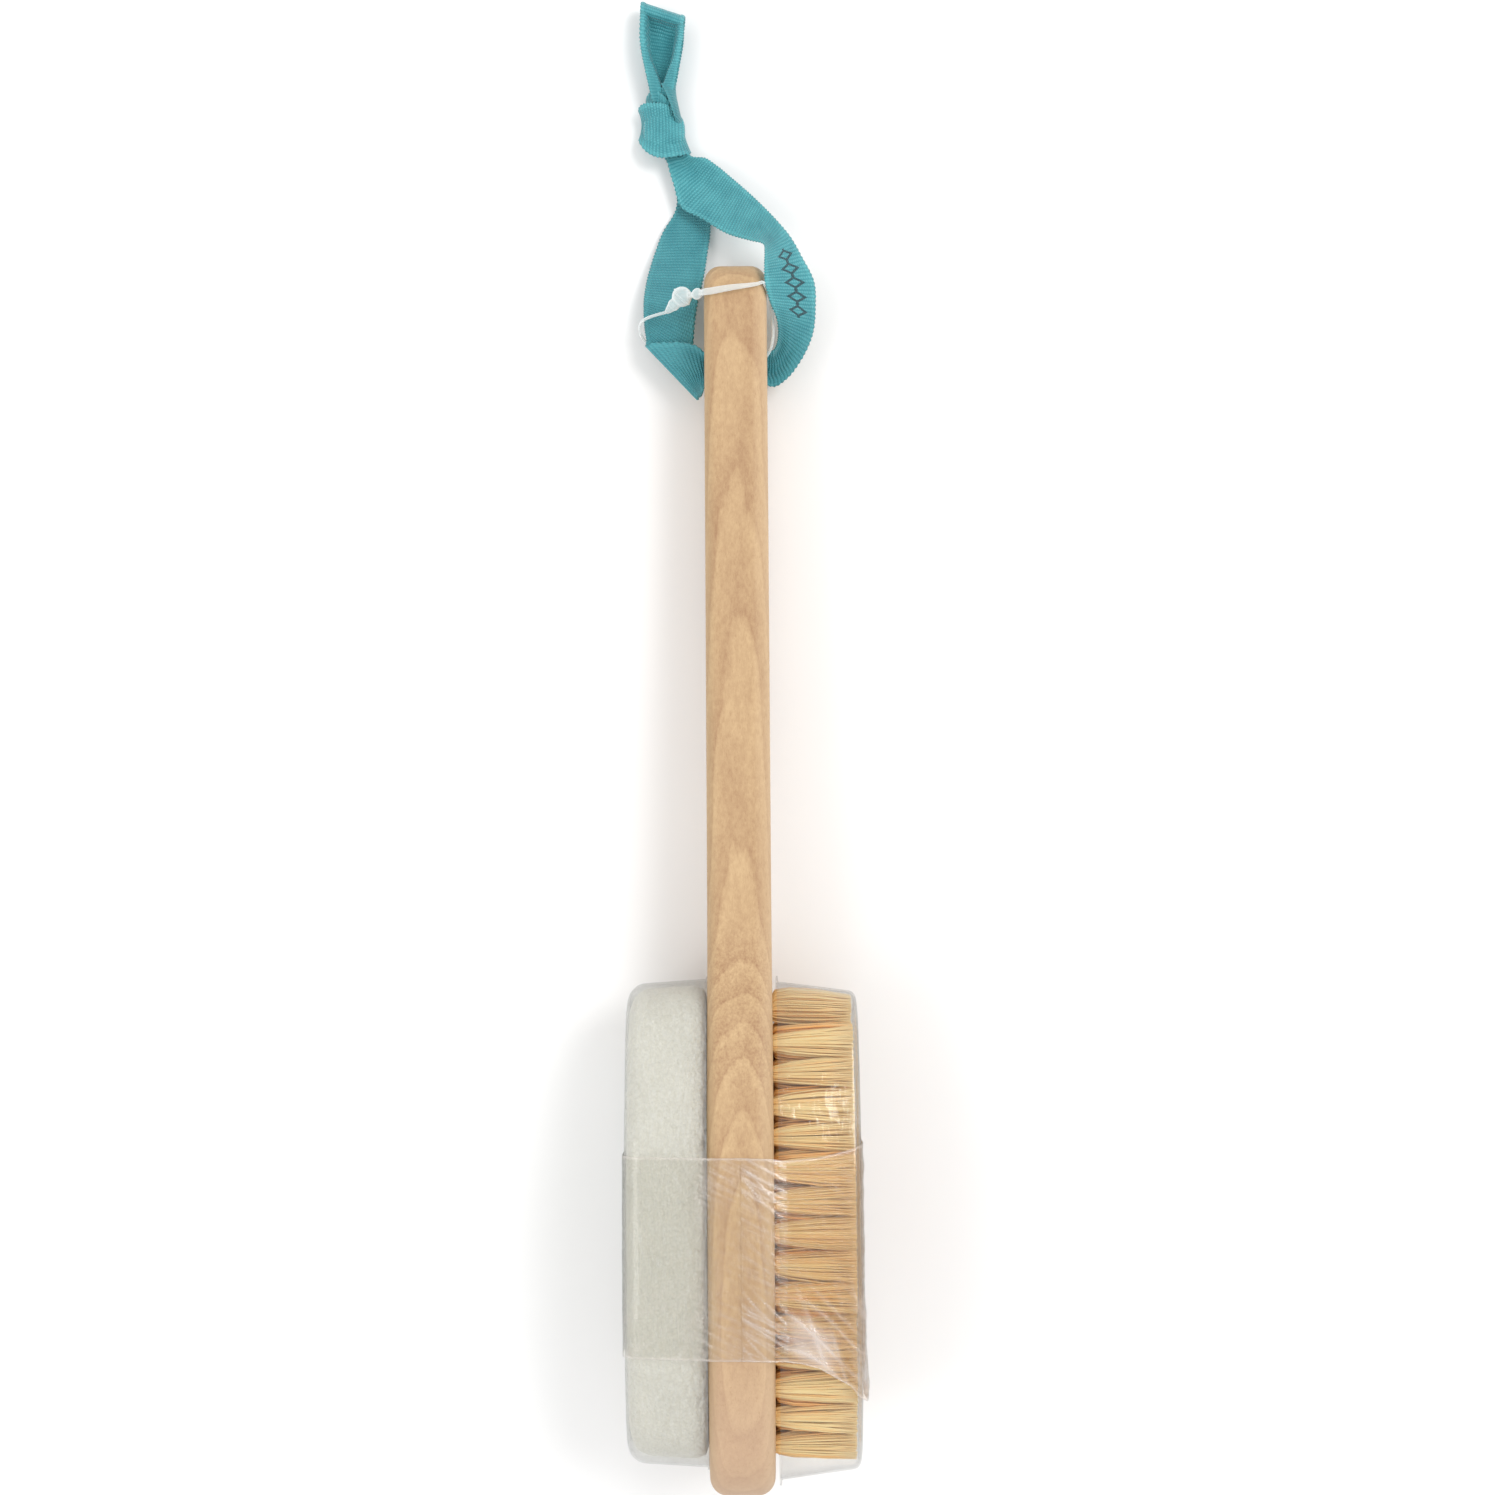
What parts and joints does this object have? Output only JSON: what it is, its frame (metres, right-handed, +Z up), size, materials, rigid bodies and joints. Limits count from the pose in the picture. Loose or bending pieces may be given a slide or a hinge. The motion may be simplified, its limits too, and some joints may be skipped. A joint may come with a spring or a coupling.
{
  "type": "body dry brush",
  "caption": "Flat wooden paddle brush with plant-fibre tufts on one face and a soft pad on the other, clear covers, shrink band and a knotted hanging ribbon.",
  "frame": {"origin": "under the middle of the object's box, on the surface it lies on edge on", "axes": "+X out of the bristles, +Y along the brush towards the end of the handle, +Z up"},
  "size_m": [0.0688, 0.4506, 0.0695],
  "materials": {
    "board": "sanded, satin",
    "bristles": "dry plant fibre",
    "tuft_anchors": "bright",
    "pad": "soft matt knit over foam",
    "pad_adhesive": "cured glue",
    "clear_cover": "clear gloss",
    "shrink_film": "clear gloss",
    "ribbon": "woven satin",
    "tag_plastic": "milky clear"
  },
  "bodies": {
    "brush": {"board": "board", "bristle_row_01": "bristles", "bristle_row_02": "bristles", "bristle_row_03": "bristles", "bristle_row_04": "bristles", "bristle_row_05": "bristles", "bristle_row_06": "bristles", "bristle_row_07": "bristles", "bristle_row_08": "bristles", "bristle_row_09": "bristles", "bristle_row_10": "bristles", "bristle_row_11": "bristles", "bristle_row_12": "bristles", "bristle_row_13": "bristles", "bristle_row_14": "bristles", "bristle_row_15": "bristles", "tuft_anchors": "tuft_anchors", "pad": "pad", "pad_adhesive": "pad_adhesive"},
    "bristle_guard": {"bristle_cover": "clear_cover", "film_band_bristle_side": "shrink_film"},
    "pad_guard": {"pad_cover": "clear_cover", "film_band_pad_side": "shrink_film"},
    "hang_ribbon": {"ribbon_loop": "ribbon", "ribbon_knot": "ribbon", "ribbon_top_loop": "ribbon", "tag_lock": "tag_plastic", "tag_strand": "tag_plastic"}
  },
  "joints": [
    {"name": "bristle_cover_pull", "type": "slide", "parent": "brush", "child": "bristle_guard", "axis": [1, 0, 0], "range_m": [0, 0.05]},
    {"name": "pad_cover_pull", "type": "slide", "parent": "brush", "child": "pad_guard", "axis": [-1, 0, 0], "range_m": [0, 0.05]},
    {"name": "ribbon_swing", "type": "hinge", "parent": "brush", "child": "hang_ribbon", "pos_m": [-0.0006, 0.10929, 0.01532], "axis": [1, 0, 0], "range_deg": [0, 95]}
  ]
}
